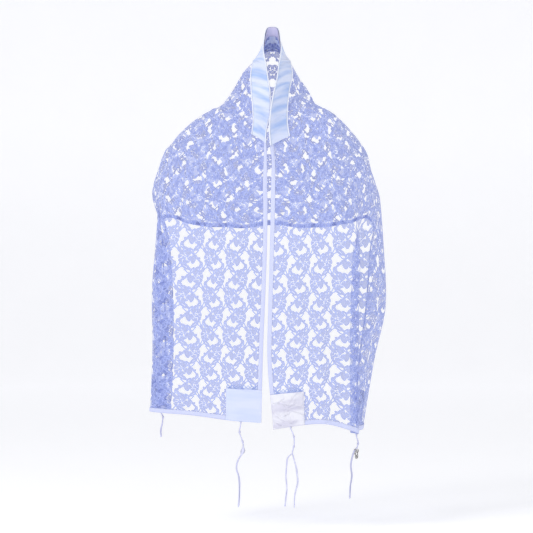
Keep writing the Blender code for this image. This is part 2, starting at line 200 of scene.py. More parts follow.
def tangents(knots, values):
    """The slope of a smooth curve at each knot."""
    gaps = np.diff(knots)
    shape = (-1,) + (1,) * (values.ndim - 1)
    slopes = np.diff(values, axis=0) / gaps.reshape(shape)
    middle_left, middle_right = gaps[:-1].reshape(shape), gaps[1:].reshape(shape)
    middle = (slopes[:-1] * middle_right + slopes[1:] * middle_left) / (middle_left + middle_right)
    return np.concatenate([slopes[:1], middle, slopes[-1:]])


def smooth(knots, values, at):
    """A smooth curve through the values at the knots, read at each place."""
    at = np.atleast_1d(at)
    i = np.clip(np.searchsorted(knots, at) - 1, 0, len(knots) - 2)
    shape = (-1,) + (1,) * (values.ndim - 1)
    gap = (knots[i + 1] - knots[i]).reshape(shape)
    t = ((at - knots[i]) / (knots[i + 1] - knots[i])).reshape(shape)
    slope = tangents(knots, values)
    start = (1 + 2 * t) * (1 - t) ** 2 * values[i] + t * (1 - t) ** 2 * gap * slope[i]
    end = t * t * (3 - 2 * t) * values[i + 1] - t * t * (1 - t) * gap * slope[i + 1]
    return start + end


def mirrored(section):
    """A section of the left half as it is on the narrower right half."""
    points = [(-x * RIGHT_SPREAD, y, z) for x, y, z in section[2:]]
    return Section(section.along, section.places, *points)


def all_sections():
    """Every section in order along the whole strip, as arrays."""
    left = LEFT + NECK + [NAPE]
    right = [mirrored(s) for s in reversed(NECK[1:])] + RIGHT
    along = [s.along for s in left] + [LENGTH - s.along for s in right]
    rows = left + right
    places = np.array([s.places for s in rows], float)
    points = np.array([s[2:] for s in rows], float)
    return np.array(along, float), places, points


STATIONS, PLACES, GUIDES = all_sections()


def fold_height(along, across):
    """The height of the soft folds over a grid."""
    height = np.zeros((len(along), len(across)))
    for fold in FOLDS:
        a = (along - fold.along) / fold.reach_along
        b = (across - fold.across) / fold.reach_across
        height += fold.height * np.exp(-a[:, None] ** 2 - b[None, :] ** 2)
    return height


def polyline_distance(x, y, points):
    """Distance from each place to the nearest point of a line."""
    best = np.full(np.broadcast(x, y).shape, 1e9)
    for (ax, ay), (bx, by) in zip(points, points[1:]):
        dx, dy = bx - ax, by - ay
        t = np.clip(((x - ax) * dx + (y - ay) * dy) / (dx * dx + dy * dy), 0, 1)
        best = np.minimum(best, np.hypot(x - ax - t * dx, y - ay - t * dy))
    return best


def crease_height(along, across):
    """The height of the listed creases over a grid, higher towards each one's middle."""
    height = np.zeros((len(along), len(across)))
    for crease in CREASES:
        a, b = along[:, None], across[None, :]
        near = polyline_distance(a, b, crease.points)
        first, last = crease.points[0], crease.points[-1]
        middle = ((first[0] + last[0]) / 2, (first[1] + last[1]) / 2)
        reach = math.dist(first, last) / 2
        fade = np.exp(-(np.hypot(a - middle[0], b - middle[1]) / reach) ** 4)
        height += crease.height * np.exp(-(near / crease.width) ** 2) * fade
    return height


NORMAL_STEP = 1.0


def bare_grid(along, across):
    """Guide surface of the cloth without folds, in millimetres."""
    places, guides = smooth(STATIONS, PLACES, along), smooth(STATIONS, GUIDES, along)
    return np.array([smooth(places[i], guides[i], across) for i in range(len(along))])


def cloth_grid(along, across, extra):
    """Points in metres and outward normals of the cloth over a grid, with an extra height."""
    along, across = np.asarray(along, float), np.asarray(across, float)
    points = bare_grid(along, across)
    ahead = bare_grid(np.minimum(along + NORMAL_STEP, LENGTH), across)
    behind = bare_grid(np.maximum(along - NORMAL_STEP, 0), across)
    out = bare_grid(along, np.minimum(across + NORMAL_STEP, WIDTH))
    back = bare_grid(along, np.maximum(across - NORMAL_STEP, 0))
    normals = np.cross(ahead - behind, out - back)
    normals /= np.linalg.norm(normals, axis=2, keepdims=True)
    height = fold_height(along, across) + crease_height(along, across) + extra
    return (points + normals * height[..., None]) * MM, normals


def steps(low, high, size):
    """Evenly spaced places from low to high, about a size apart."""
    return np.linspace(low, high, max(int(round((high - low) / size)), 1) + 1)


def ellipse(x, y, cx, cy, a, b, turn):
    """Signed distance, roughly, to an ellipse with half axes a and b."""
    c, s = math.cos(math.radians(turn)), math.sin(math.radians(turn))
    u, v = (x - cx) * c + (y - cy) * s, -(x - cx) * s + (y - cy) * c
    return (np.hypot(u / a, v / b) - 1) * min(a, b)


def leaf(x, y, cx, cy, length, width, turn):
    """A leaf with two pointed ends, where two discs meet."""
    c, s = math.cos(math.radians(turn)), math.sin(math.radians(turn))
    u, v = (x - cx) * c + (y - cy) * s, -(x - cx) * s + (y - cy) * c
    radius = (length ** 2 + width ** 2) / (4 * width)
    shift = radius - width / 2
    return np.hypot(np.abs(u) + shift, v) - radius


def stem(x, y, points, width):
    """Signed distance to a line of a given width."""
    return polyline_distance(x, y, points) - width / 2


# Lace repeat: one spray of a rose, leaves, buds and stems, in millimetres from the rose's middle,
# with x towards its large leaf. Turn is how far a shape leans left of upright, in degrees.
Shape = collections.namedtuple("Shape", "x y wide long turn")
PETALS = [
    Shape(3.0, 8.0, 17, 17, 0),
    Shape(-6.5, 9.5, 11, 13, 20),
    Shape(-10.0, 0.5, 9, 14, -5),
    Shape(-7.5, -8.5, 11, 11, 0),
    Shape(1.5, -11.5, 17, 10, 5),
    Shape(8.5, -4.0, 9, 15, 0),
    Shape(0.0, -2.0, 18, 18, 0),
]
LEAVES = [
    Shape(16.6, -6.0, 12.0, 24, -8),
    Shape(2.0, -23.5, 11.0, 27, 49),
    Shape(12.6, 14.0, 8.5, 19, 26),
    Shape(1.0, 20.5, 6.5, 12, 70),
    Shape(-13.0, 15.0, 6.5, 14, 40),
    Shape(-15.5, -27.5, 6.0, 12, -25),
]
STEMS = [
    [(18.0, 5.5), (23.5, 9.5), (28.5, 15.5)],
    [(11.5, -33), (12.6, -38.0), (10.0, -43.5)],
    [(-8.0, -13), (-12.0, -21), (-16.5, -29), (-19.0, -36)],
    [(-3.0, 15), (-5.5, 20), (-10.5, 24.5), (-11.0, 31)],
    [(-13.0, 17), (-19.5, 20), (-25.0, 26)],
]
TWIG = [(16.7, 5.0), (22.5, 2.0), (27.0, -5.0), (32.8, -10.0), (35.3, -17.0), (31.0, -24.5),
        (24.5, -28.5)]
BUDS = [Shape(24.0, -28.5, 7, 7, 0), Shape(30.5, -3.0, 6.5, 6.5, 0), Shape(36.5, -13.0, 6, 6, 0)]
STEM_WIDTH = 2.6
TWIG_WIDTH = 4.6
SCALLOP = 1.0
WOBBLE = 0.45
SLIT_WIDTH = 1.5
EDGE_CORD = 1.3
Arc = collections.namedtuple("Arc", "x y radius start stop")
CURLS = [
    Arc(0.0, -2.0, 5.4, 50, 190),
    Arc(0.0, -2.0, 5.4, 225, 365),
    Arc(0.6, -2.4, 2.4, -60, 150),
]
PETAL_GAPS = (28, 97, 145, 192, 245, 315)
VEINS = [[(-2.0, -20.5), (1.5, -23.5), (4.5, -26.0)], [(14.5, 10.0), (11.5, 16.0)]]


def arc_points(arc, count=14):
    """Points along an arc."""
    turns = [math.radians(arc.start + (arc.stop - arc.start) * i / count) for i in range(count + 1)]
    return [(arc.x + arc.radius * math.cos(t), arc.y + arc.radius * math.sin(t)) for t in turns]


def petal_gap(turn):
    """A curved slit that parts two petals, from near the rose's middle outwards."""
    rows = [(7.2, turn - 14), (9.0, turn - 4), (10.8, turn), (12.6, turn + 1)]
    return [(r * math.cos(math.radians(t)), r * math.sin(math.radians(t)) - 2) for r, t in rows]


def spray(x, y):
    """Signed distance to one spray of lace."""
    solid = np.full(x.shape, 1e9)
    for s in PETALS + BUDS:
        solid = np.minimum(solid, ellipse(x, y, s.x, s.y, s.wide / 2, s.long / 2, s.turn))
    for s in LEAVES:
        solid = np.minimum(solid, leaf(x, y, s.x, s.y, s.long, s.wide, s.turn))
    for points in STEMS:
        solid = np.minimum(solid, stem(x, y, points, STEM_WIDTH))
    scallops = SCALLOP * np.sin(x * 1.3 + 1) * np.sin(y * 1.3)
    solid = np.minimum(solid, stem(x, y, TWIG, TWIG_WIDTH) + scallops)
    solid += WOBBLE * np.sin(x * 0.8 + 0.6 * y) * np.sin(y * 0.9 - 0.5 * x)
    slits = [arc_points(arc) for arc in CURLS] + [petal_gap(turn) for turn in PETAL_GAPS] + VEINS
    for points in slits:
        solid = np.maximum(solid, -stem(x, y, points, SLIT_WIDTH))
    return solid


TABLE_STEP = 0.4


def repeat_table():
    """Signed distance to the thread over one repeat of the lace."""
    nx, ny = int(REPEAT_ACROSS / TABLE_STEP), int(REPEAT_ALONG / TABLE_STEP)
    x, y = np.meshgrid(np.arange(nx) * REPEAT_ACROSS / nx, np.arange(ny) * REPEAT_ALONG / ny)
    solid = np.full(x.shape, 1e9)
    for i in (-1, 0, 1):
        for j in (-1, 0, 1):
            ax, ay = x - i * REPEAT_ACROSS, y - j * REPEAT_ALONG
            bx, by = ax - REPEAT_ACROSS / 2, ay - REPEAT_ALONG / 2
            solid = np.minimum(solid, np.minimum(spray(ax, ay), spray(-bx, by)))
    return solid


REPEAT_SOLID = repeat_table()

# The rose stands above the cut hole of the solids
ROSE_ALONG = HOLE_ALONG + 38
ROSE_ACROSS = HOLE_ACROSS + 4


def lace_field(along, across):
    """Reads the repeat over a grid of the cloth."""
    half_along = np.where(along > HALF, LENGTH - along, along)
    ny, nx = REPEAT_SOLID.shape
    y = ((half_along - ROSE_ALONG) / REPEAT_ALONG % 1) * ny
    x = ((across - ROSE_ACROSS) / REPEAT_ACROSS % 1) * nx
    y, x = np.broadcast_arrays(y[:, None], x[None, :])
    yi, xi = np.floor(y).astype(int), np.floor(x).astype(int)
    fy, fx = y - yi, x - xi
    value = 0
    for dy, wy in ((0, 1 - fy), (1, fy)):
        for dx, wx in ((0, 1 - fx), (1, fx)):
            value = value + REPEAT_SOLID[(yi + dy) % ny, (xi + dx) % nx] * wy * wx
    return value


# Marching squares: for each case of inside corners, the polygons' corners. 0 to 3 are the cell's
# corners and 4 to 7 the crossings on its edges, both counted round from the low corner.
CASES = {
    1: [(0, 4, 7)], 2: [(1, 5, 4)], 3: [(0, 1, 5, 7)], 4: [(2, 6, 5)], 5: [(0, 4, 5, 2, 6, 7)],
    6: [(1, 2, 6, 4)], 7: [(0, 1, 2, 6, 7)], 8: [(3, 7, 6)], 9: [(0, 4, 6, 3)],
    10: [(1, 5, 6, 3, 7, 4)], 11: [(0, 1, 5, 6, 3)], 12: [(2, 3, 7, 5)], 13: [(0, 4, 5, 2, 3)],
    14: [(1, 2, 3, 7, 4)], 15: [(0, 1, 2, 3)],
}


def cut_grid(field, layers):
    """Keeps the part of a grid where the field is below 0: the new layers' values and triangles."""
    rows, columns = field.shape
    inside = field < 0
    count = rows * columns
    index = np.arange(count).reshape(rows, columns)
    flat = [layer.reshape(count, -1) for layer in layers]
    fall_u, fall_v = field[:-1] - field[1:], field[:, :-1] - field[:, 1:]
    share_u = field[:-1] / np.where(fall_u == 0, 1, fall_u)
    share_v = field[:, :-1] / np.where(fall_v == 0, 1, fall_v)
    cross_u, cross_v = inside[:-1] != inside[1:], inside[:, :-1] != inside[:, 1:]
    u_index = np.full(cross_u.shape, -1)
    v_index = np.full(cross_v.shape, -1)
    u_index[cross_u] = count + np.arange(cross_u.sum())
    v_index[cross_v] = count + cross_u.sum() + np.arange(cross_v.sum())
    grown = []
    for layer in flat:
        low, high = layer[index[:-1][cross_u]], layer[index[1:][cross_u]]
        t = np.clip(share_u[cross_u], 0.02, 0.98)[:, None]
        left, right = layer[index[:, :-1][cross_v]], layer[index[:, 1:][cross_v]]
        s = np.clip(share_v[cross_v], 0.02, 0.98)[:, None]
        grown.append(np.concatenate([layer, low + (high - low) * t, left + (right - left) * s]))
    corners = [index[:-1, :-1], index[1:, :-1], index[1:, 1:], index[:-1, 1:],
               u_index[:, :-1], v_index[1:, :], u_index[:, 1:], v_index[:-1, :]]
    case = sum(inside_corner.astype(int) << bit for bit, inside_corner in enumerate(
        (inside[:-1, :-1], inside[1:, :-1], inside[1:, 1:], inside[:-1, 1:])))
    triangles = []
    for number, polygons in CASES.items():
        chosen = case == number
        if not chosen.any():
            continue
        for polygon in polygons:
            ring = [corners[k][chosen] for k in polygon]
            for k in range(1, len(ring) - 1):
                triangles.append(np.stack([ring[0], ring[k], ring[k + 1]], axis=1))
    triangles = np.concatenate(triangles)
    used = np.unique(triangles)
    renumbered = np.full(len(grown[0]), -1)
    renumbered[used] = np.arange(len(used))
    return [layer[used] for layer in grown], renumbered[triangles]


def mesh_object(name, points, faces, material, uv=None, values=None):
    """An object from arrays, with its cloth place as UV and named point values."""
    mesh = bpy.data.meshes.new(name)
    faces = np.asarray(faces)
    mesh.vertices.add(len(points))
    mesh.vertices.foreach_set("co", np.asarray(points, np.float32).ravel())
    side = faces.shape[1]
    mesh.loops.add(faces.size)
    mesh.loops.foreach_set("vertex_index", faces.astype(np.int32).ravel())
    mesh.polygons.add(len(faces))
    mesh.polygons.foreach_set("loop_start", np.arange(len(faces), dtype=np.int32) * side)
    mesh.update(calc_edges=True)
    if uv is not None:
        layer = mesh.uv_layers.new(name="cloth")
        corner_uv = (np.asarray(uv)[faces.ravel()] * MM).astype(np.float32)
        layer.data.foreach_set("uv", corner_uv.ravel())
    for key, value in (values or {}).items():
        attribute = mesh.attributes.new(key, "FLOAT", "POINT")
        attribute.data.foreach_set("value", np.asarray(value, np.float32).ravel())
    mesh.shade_smooth()
    mesh.materials.append(material)
    made = bpy.data.objects.new(name, mesh)
    bpy.context.scene.collection.objects.link(made)
    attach(made, "root")
    return made


def place_grid(along, across):
    """The (along, across) of every point of a grid."""
    return np.stack(np.broadcast_arrays(along[:, None], across[None, :]), axis=2)


def shader_of(name):
    """A new material, its node tree and its surface shader."""
    made = bpy.data.materials.new(name)
    made.use_nodes = True
    return made, made.node_tree, made.node_tree.nodes["Principled BSDF"]


def ramp(tree, factor, low, high):
    """Mixes two colours by a factor socket."""
    mix = tree.nodes.new("ShaderNodeMix")
    mix.data_type = "RGBA"
    tree.links.new(factor, mix.inputs["Factor"])
    mix.inputs[6].default_value = (*low, 1)
    mix.inputs[7].default_value = (*high, 1)
    return mix.outputs[2]


def arithmetic(tree, operation, a, b):
    """The result socket of one sum on sockets or numbers."""
    node = tree.nodes.new("ShaderNodeMath")
    node.operation = operation
    for socket, value in zip(node.inputs, (a, b)):
        if isinstance(value, (int, float)):
            socket.default_value = value
        else:
            tree.links.new(value, socket)
    return node.outputs[0]


def cloth_coordinates(tree):
    """The place on the flat strip, in metres."""
    node = tree.nodes.new("ShaderNodeUVMap")
    node.uv_map = "cloth"
    return node.outputs[0]


def waves(tree, vector, scale, direction):
    """Even bands across one direction."""
    node = tree.nodes.new("ShaderNodeTexWave")
    node.bands_direction = direction
    node.inputs["Scale"].default_value = scale
    tree.links.new(vector, node.inputs["Vector"])
    return node.outputs["Fac"]


def woven(tree, vector, scale):
    """Small spots in rows both ways, as in a plain weave."""
    across, along = waves(tree, vector, scale, "X"), waves(tree, vector, scale, "Y")
    return arithmetic(tree, "MULTIPLY", across, along)


def noise(tree, vector, scale, detail):
    """Cloudy noise from 0 to 1."""
    node = tree.nodes.new("ShaderNodeTexNoise")
    node.inputs["Scale"].default_value = scale
    node.inputs["Detail"].default_value = detail
    tree.links.new(vector, node.inputs["Vector"])
    return node.outputs["Fac"]


def bump(tree, shader, height, strength, distance):
    """Raises a shader's surface by a height socket, over a distance in metres."""
    node = tree.nodes.new("ShaderNodeBump")
    node.inputs["Strength"].default_value = strength
    node.inputs["Distance"].default_value = distance
    tree.links.new(height, node.inputs["Height"])
    tree.links.new(node.outputs[0], shader.inputs["Normal"])


# Threads a metre in the net, the tapes and the satin, and how much of the net lets light through
NET_WAVES, TAPE_WAVES, SATIN_WAVES = 420, 500, 700
NET_ALPHA, THREAD_ALPHA, NET_GAPS = 0.74, 0.24, 0.35


def lace_material(name, fill, outline):
    """Sheer net petals inside a thicker outline thread."""
    made, tree, shader = shader_of(name)
    cord = tree.nodes.new("ShaderNodeAttribute")
    cord.attribute_name = "cord"
    thread = cord.outputs["Fac"]
    place = cloth_coordinates(tree)
    net = woven(tree, place, NET_WAVES)
    colour = ramp(tree, thread, fill, outline)
    tree.links.new(colour, shader.inputs["Base Color"])
    solid = arithmetic(tree, "ADD", arithmetic(tree, "MULTIPLY", thread, THREAD_ALPHA), NET_ALPHA)
    holes = arithmetic(tree, "MULTIPLY", arithmetic(tree, "SUBTRACT", 1.0, thread), net)
    alpha = arithmetic(tree, "SUBTRACT", solid, arithmetic(tree, "MULTIPLY", holes, NET_GAPS))
    tree.links.new(alpha, shader.inputs["Alpha"])
    shader.inputs["Roughness"].default_value = 0.75
    shader.inputs["Sheen Weight"].default_value = 0.3
    relief = arithmetic(tree, "ADD", thread, arithmetic(tree, "MULTIPLY", net, 0.3))
    bump(tree, shader, relief, 0.6, 0.0006)
    return made


# Painted sheen and shade on the satins: a cloud stretched into crosswise bands mixes the shade
# colour into the satin's colour
SHEEN_STRETCH = (1, 0.2, 1)
SHEEN_SCALE = 34
SHEEN_RANGE = (0.38, 0.56)
SLUB_SCALE = 260
FIBRE_SCALE = 900


def satin_material(name, colour, shade):
    """Smooth satin with fine crosswise threads, its colour mixed with cloudy bands of painted sheen
    and shade.
    """
    made, tree, shader = shader_of(name)
    place = cloth_coordinates(tree)
    stretch = tree.nodes.new("ShaderNodeMapping")
    stretch.inputs["Scale"].default_value = SHEEN_STRETCH
    tree.links.new(place, stretch.inputs["Vector"])
    cloud = noise(tree, stretch.outputs[0], SHEEN_SCALE, 2)
    sheen_and_shade = tree.nodes.new("ShaderNodeMapRange")
    sheen_and_shade.inputs["From Min"].default_value = SHEEN_RANGE[0]
    sheen_and_shade.inputs["From Max"].default_value = SHEEN_RANGE[1]
    tree.links.new(cloud, sheen_and_shade.inputs["Value"])
    # Painted sheen and shade: the cloud's bands mix the shade colour into the satin's colour
    tree.links.new(ramp(tree, sheen_and_shade.outputs[0], shade, colour), shader.inputs["Base Color"])
    shader.inputs["Roughness"].default_value = 0.36
    shader.inputs["Sheen Weight"].default_value = 0.25
    threads = waves(tree, place, SATIN_WAVES, "Y")
    weave = arithmetic(tree, "ADD", threads, noise(tree, place, SLUB_SCALE, 2))
    bump(tree, shader, weave, 0.25, 0.0004)
    return made


def trim_material(name, colour, shade):
    """A narrow woven tape, with threads both ways."""
    made, tree, shader = shader_of(name)
    place = cloth_coordinates(tree)
    weave = woven(tree, place, TAPE_WAVES)
    tree.links.new(ramp(tree, weave, shade, colour), shader.inputs["Base Color"])
    shader.inputs["Roughness"].default_value = 0.8
    bump(tree, shader, weave, 0.4, 0.0004)
    return made


def cord_material(name, shade, colour):
    """Thread with fine fibres of two shades."""
    made, tree, shader = shader_of(name)
    coordinates = tree.nodes.new("ShaderNodeTexCoord").outputs["Object"]
    fibres = noise(tree, coordinates, FIBRE_SCALE, 4)
    tree.links.new(ramp(tree, fibres, shade, colour), shader.inputs["Base Color"])
    shader.inputs["Roughness"].default_value = 0.85
    bump(tree, shader, fibres, 0.5, 0.0005)
    return made


LACE_LOOK = lace_material("rose_lace", (0.27, 0.33, 0.71), (0.44, 0.51, 0.86))
EDGING_LOOK = lace_material("edging_lace", (0.30, 0.39, 0.76), (0.46, 0.55, 0.89))
# Each satin's second colour is the painted shade of its cloudy sheen bands
SATIN_LOOK = satin_material("neckband_satin", (0.70, 0.76, 0.95), (0.40, 0.54, 0.88))
CORNER_LOOK = satin_material("corner_satin", (0.69, 0.74, 0.94), (0.62, 0.69, 0.92))
CRUMPLED_LOOK = satin_material("crumpled_satin", (0.84, 0.84, 0.91), (0.68, 0.67, 0.79))
# The facing is greyer and darker than the neckband partly as the satin's reverse side and partly as
# painted shade inside the neck
FACING_LOOK = satin_material("facing_satin", (0.58, 0.56, 0.78), (0.50, 0.50, 0.74))
PIPING_LOOK = trim_material("piping_cord", (0.93, 0.95, 0.99), (0.80, 0.84, 0.96))
HEM_LOOK = trim_material("hem_tape", (0.74, 0.77, 0.95), (0.60, 0.64, 0.90))
CORD_LOOK = cord_material("tassel_thread", (0.60, 0.61, 0.83), (0.82, 0.83, 0.97))
SNARL_LOOK = cord_material("snarl_thread", (0.07, 0.065, 0.06), (0.55, 0.53, 0.52))


# How far the trims stand out from the cloth and how thick they are, in millimetres
LACE_RELIEF = 0.5
TRIM_THICK = 0.8
TAPE_OUT, TAPE_SWELL, TAPE_PUCKER, TAPE_THICK = 1.3, 0.7, 0.15, 0.6
PUCKER_EVERY = 7.3
BAND_OUT = 1.7
SATIN_GAP = 0.6
FACING_OUT = -1.6
PIPING_OUT, PIPING_SWELL, PIPING_TWIST = 0.9, 1.7, 0.18
TWIST_EVERY = 6
NECK_REACH = (NECKBAND_END, LENGTH - NECKBAND_END)


def lace_panel(name, node, low, high, grain):
    """A stretch of lace with its holes cut out."""
    along, across = steps(low, high, grain), steps(0, WIDTH, grain)
    field = lace_field(along, across)
    edge_along = np.minimum(along, LENGTH - along)[:, None]
    edge_across = np.minimum(across, WIDTH - across)[None, :]
    field = np.minimum(field, np.minimum(edge_along, edge_across) - EDGE_CORD * 2)
    cord = np.clip(1 - np.abs(field + EDGE_CORD * 0.4) / EDGE_CORD, 0, 1)
    points, _ = cloth_grid(along, across, LACE_RELIEF * cord)
    layers, faces = cut_grid(field, [points, place_grid(along, across), cord])
    made = mesh_object(name, layers[0], faces, LACE_LOOK, layers[1], {"cord": layers[2]})
    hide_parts(node)


def surface(name, node, along, across, height, thick, look):
    """A piece sewn on the cloth: it follows the cloth's points, moved out, and has a thickness."""
    points, _ = cloth_grid(along, across, height)
    rows, columns = len(along), len(across)
    index = np.arange(rows * columns).reshape(rows, columns)
    faces = np.stack([index[:-1, :-1], index[1:, :-1], index[1:, 1:], index[:-1, 1:]], axis=2)
    made = mesh_object(name, points.reshape(-1, 3), faces.reshape(-1, 4), look,
                       place_grid(along, across).reshape(-1, 2))
    thickness = made.modifiers.new("Thickness", "SOLIDIFY")
    thickness.thickness = thick * MM
    thickness.offset = 0
    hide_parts(node)


def tape(name, node, along_range, across_range, rounded):
    """A folded hem, thickest along its middle and slightly puckered."""
    along, across = steps(*along_range, 3), steps(*across_range, 1.1)
    a, b = along[:, None], across[None, :]
    share = (a - along[0]) / (along[-1] - along[0]) + 0 * b
    if rounded == "across":
        share = (b - across[0]) / (across[-1] - across[0]) + 0 * a
    height = TAPE_OUT + TAPE_SWELL * np.sin(np.pi * share)
    pucker = TAPE_PUCKER * np.sin(a * 2 * np.pi / PUCKER_EVERY) * np.sin(b * 0.9)
    surface(name, node, along, across, height + pucker, TAPE_THICK, HEM_LOOK)


# Wrinkles of the neckband: how far apart they are and how high
WRINKLES = ((31, 0.9), (17, 0.7), (11.5, 0.45), (7, 0.22))
WRINKLE_FADE = 7


def crinkles(along, across):
    """Uneven crosswise wrinkles of the neckband, fading out at the pipings."""
    a, b = along[:, None], across[None, :]
    height = 0
    for i, (step, size) in enumerate(WRINKLES):
        lean = 0.3 * math.sin(2.1 * i + 1)
        strength = 0.6 + 0.4 * np.sin(a / (37 + 11 * i) + b / 29 + i)
        height = height + size * strength * np.sin((a + lean * b) * 2 * math.pi / step + 1.7 * i)
    inner = np.clip((b - PIPING) / WRINKLE_FADE, 0, 1)
    inner = inner * np.clip((NECKBAND - PIPING - b) / WRINKLE_FADE, 0, 1)
    return height * inner


def piping(name, node, low, high):
    """A round cord covered in cloth, twisted a little."""
    along, across = steps(*NECK_REACH, 1.5), steps(low, high, 0.8)
    share = (across - low) / (high - low)
    height = PIPING_OUT + PIPING_SWELL * np.sqrt(np.clip(1 - (2 * share - 1) ** 2, 0, 1))[None, :]
    lean = 1.4 * across[None, :]
    twist = PIPING_TWIST * np.sin((along[:, None] + lean) * 2 * math.pi / TWIST_EVERY)
    surface(name, node, along, across, height + twist, TRIM_THICK, PIPING_LOOK)


CORNER_SEAM = 4
CORNER_CURL = 3
CURL_REACH = 18
CRUMPLE_LIFT = 1.8
RAY_SHARE = 0.5

# Creases of the crumpled corner square, out from its middle: direction, length and height
Ray = collections.namedtuple("Ray", "degrees length height")
CORNER_MIDDLE = (46, 42)
CORNER_RAYS = [
    Ray(20, 40, 3.6), Ray(48, 46, -2.6), Ray(80, 38, 3.4), Ray(100, 36, -1.8), Ray(118, 44, 3.0),
    Ray(150, 40, -2.4), Ray(170, 34, 2.2), Ray(188, 42, 3.4), Ray(222, 46, 2.8), Ray(250, 40, -2.6),
    Ray(285, 42, 3.8), Ray(304, 36, -2.2), Ray(325, 48, 3.2),
]

# Its tucks, each with a middle, a direction and a length. One side is steep and the other gentle.
Tuck = collections.namedtuple("Tuck", "up over degrees length steep gentle height")
CORNER_TUCKS = [
    Tuck(66, 11, 92, 18, 1.5, 5.5, 4.4), Tuck(71, 26, 62, 20, 1.8, 7.0, 4.2),
    Tuck(60, 34, 112, 22, 1.4, 6.0, 5.2), Tuck(70, 57, 218, 30, 1.6, 13.0, 7.0),
    Tuck(74, 76, 100, 16, 1.6, 6.0, 3.6), Tuck(50, 73, 92, 22, 1.3, 5.0, 5.0),
    Tuck(56, 54, 68, 14, 1.2, 4.0, 4.0), Tuck(32, 66, 290, 44, 1.6, 15.0, 8.5),
    Tuck(34, 38, 72, 20, 1.3, 5.0, 5.0), Tuck(27, 20, 128, 34, 1.3, 5.0, 5.0),
    Tuck(14, 15, 118, 24, 1.5, 5.5, 4.8), Tuck(14, 54, 66, 20, 1.5, 6.0, 4.6),
    Tuck(5, 24, 272, 36, 1.6, 6.0, 3.4),
]


def turned(up, over, middle, degrees):
    """Places measured ahead and aside of a line through a middle. Up is 0 degrees."""
    c, s = math.cos(math.radians(degrees)), math.sin(math.radians(degrees))
    a, b = up - middle[0], over - middle[1]
    return a * c + b * s, b * c - a * s


def tucked(up, over):
    """Height of the tucks at places measured from the corner square's lower inner corner."""
    height = 0
    for tuck in CORNER_TUCKS:
        ahead, aside = turned(up, over, (tuck.up, tuck.over), tuck.degrees)
        width = np.where(aside > 0, tuck.steep, tuck.gentle)
        fade = (2 * ahead / tuck.length) ** 4
        height = height + tuck.height * np.exp(-fade - (aside / width) ** 2)
    return height


def radiating(up, over):
    """Height of the creases that run out from the crumpled square's middle."""
    height = 0
    for ray in CORNER_RAYS:
        ahead, aside = turned(up, over, CORNER_MIDDLE, ray.degrees)
        rise = np.clip(ahead / 6, 0, 1) * np.clip((ray.length - ahead) / 14, 0, 1)
        height = height + ray.height * rise * np.exp(-(aside / (1.4 + 0.08 * np.abs(ahead))) ** 2)
    return height


def corner_square(name, node, along_low, across_low, crumpled):
    """A satin corner square with its seam pressed in, and smooth or crumpled inside that."""
    along = steps(along_low, along_low + CORNER, 1.2)
    across = steps(across_low, across_low + CORNER, 1.2)
    a, b = (along - along_low)[:, None], (across - across_low)[None, :]
    edge = np.minimum(np.minimum(a, CORNER - a), np.minimum(b, CORNER - b))
    seam = 0.45 * np.exp(-((edge - CORNER_SEAM) / 1.1) ** 2)
    height = BAND_OUT + 0.5 * (1 - np.exp(-edge / 3)) - seam
    if crumpled:
        up = CORNER - a
        crumples = RAY_SHARE * radiating(up, b) + tucked(up, b)
        height = height + (CRUMPLE_LIFT + crumples) * np.clip(edge / 5, 0, 1)
        height = height + CORNER_CURL * np.exp(-(up ** 2 + b ** 2) / CURL_REACH ** 2)
    else:
        height = height + 0.5 * np.sin(a / 17 + 0.5) * np.sin(b / 21) + 0.25 * np.sin((a + b) / 9)
    look = CRUMPLED_LOOK if crumpled else CORNER_LOOK
    surface(name, node, along, across, height, TRIM_THICK, look)


EDGING = 12
EDGING_UNDER = 2
EDGING_OUT = 1.5
SCALLOP_EVERY = 9.4
SCALLOP_HOLE = 1.9


def edging(name, far_end):
    """A scalloped lace edging along the top of a corner square, with a hole in each scallop."""
    along, across = steps(CORNER - EDGING_UNDER, CORNER + EDGING, 0.8), steps(0, CORNER, 0.8)
    a, b = (along - CORNER)[:, None], across[None, :]
    wave = np.abs(np.sin(np.pi * b / SCALLOP_EVERY))
    field = a - (EDGING - 5 + 4 * wave)
    beside = (b / SCALLOP_EVERY) % 1 - 0.5
    holes = SCALLOP_HOLE - np.hypot(a - EDGING + 5.5, beside * SCALLOP_EVERY)
    field = np.maximum(field, holes)
    cord = np.clip(1 - np.abs(field + 0.5) / 1.2, 0, 1)
    place = LENGTH - along if far_end else along
    points, _ = cloth_grid(place, across, EDGING_OUT + 0.4 * cord)
    if far_end:
        points = points[::-1]
        field, cord, place = field[::-1], cord[::-1], place[::-1]
    layers, faces = cut_grid(field, [points, place_grid(place, across), cord])
    made = mesh_object(name, layers[0], faces, EDGING_LOOK, layers[1], {"cord": layers[2]})


def tube_quads(index):
    """Quads of tubes from their point numbers: the last axis goes round, the one before along."""
    beside = np.roll(index, -1, axis=-1)
    here, ahead = np.s_[..., :-1, :], np.s_[..., 1:, :]
    return np.stack([index[here], beside[here], beside[ahead], index[ahead]], axis=-1).reshape(-1, 4)


STITCH_EVERY = 4.2
STITCH_INSET = 2
RUN_LENGTH = 60
STITCH_ENDS = np.array([0.15, 0.5, 0.85])
STITCH_RADII = (0.12, 0.38, 0.12)


